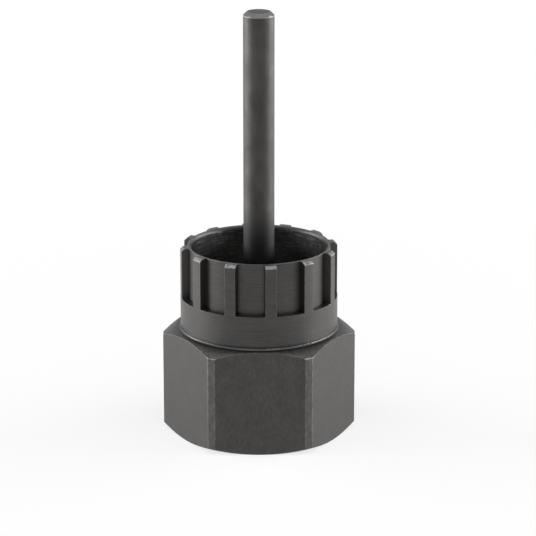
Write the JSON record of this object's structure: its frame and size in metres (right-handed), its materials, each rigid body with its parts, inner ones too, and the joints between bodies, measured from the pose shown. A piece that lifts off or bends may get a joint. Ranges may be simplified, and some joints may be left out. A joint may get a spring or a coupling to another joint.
{
  "type": "cassette lockring tool",
  "caption": "Black steel socket with a hex for a wrench below, a ring of external splines round a cup above, and a guide pin standing in the middle of the cup.",
  "frame": {"origin": "centre of the flat base face", "axes": "+Z along the tool's axis towards the tip of the guide pin, -Y square out of one flat of the hex"},
  "size_m": [0.0286, 0.0254, 0.0637],
  "materials": {
    "black_oxide_steel": "satin black oxide on turned and milled steel",
    "black_oxide_pin": "satin black oxide on ground steel rod"
  },
  "bodies": {
    "root": {"splined_socket": "black_oxide_steel", "guide_pin": "black_oxide_pin"}
  },
  "joints": []
}
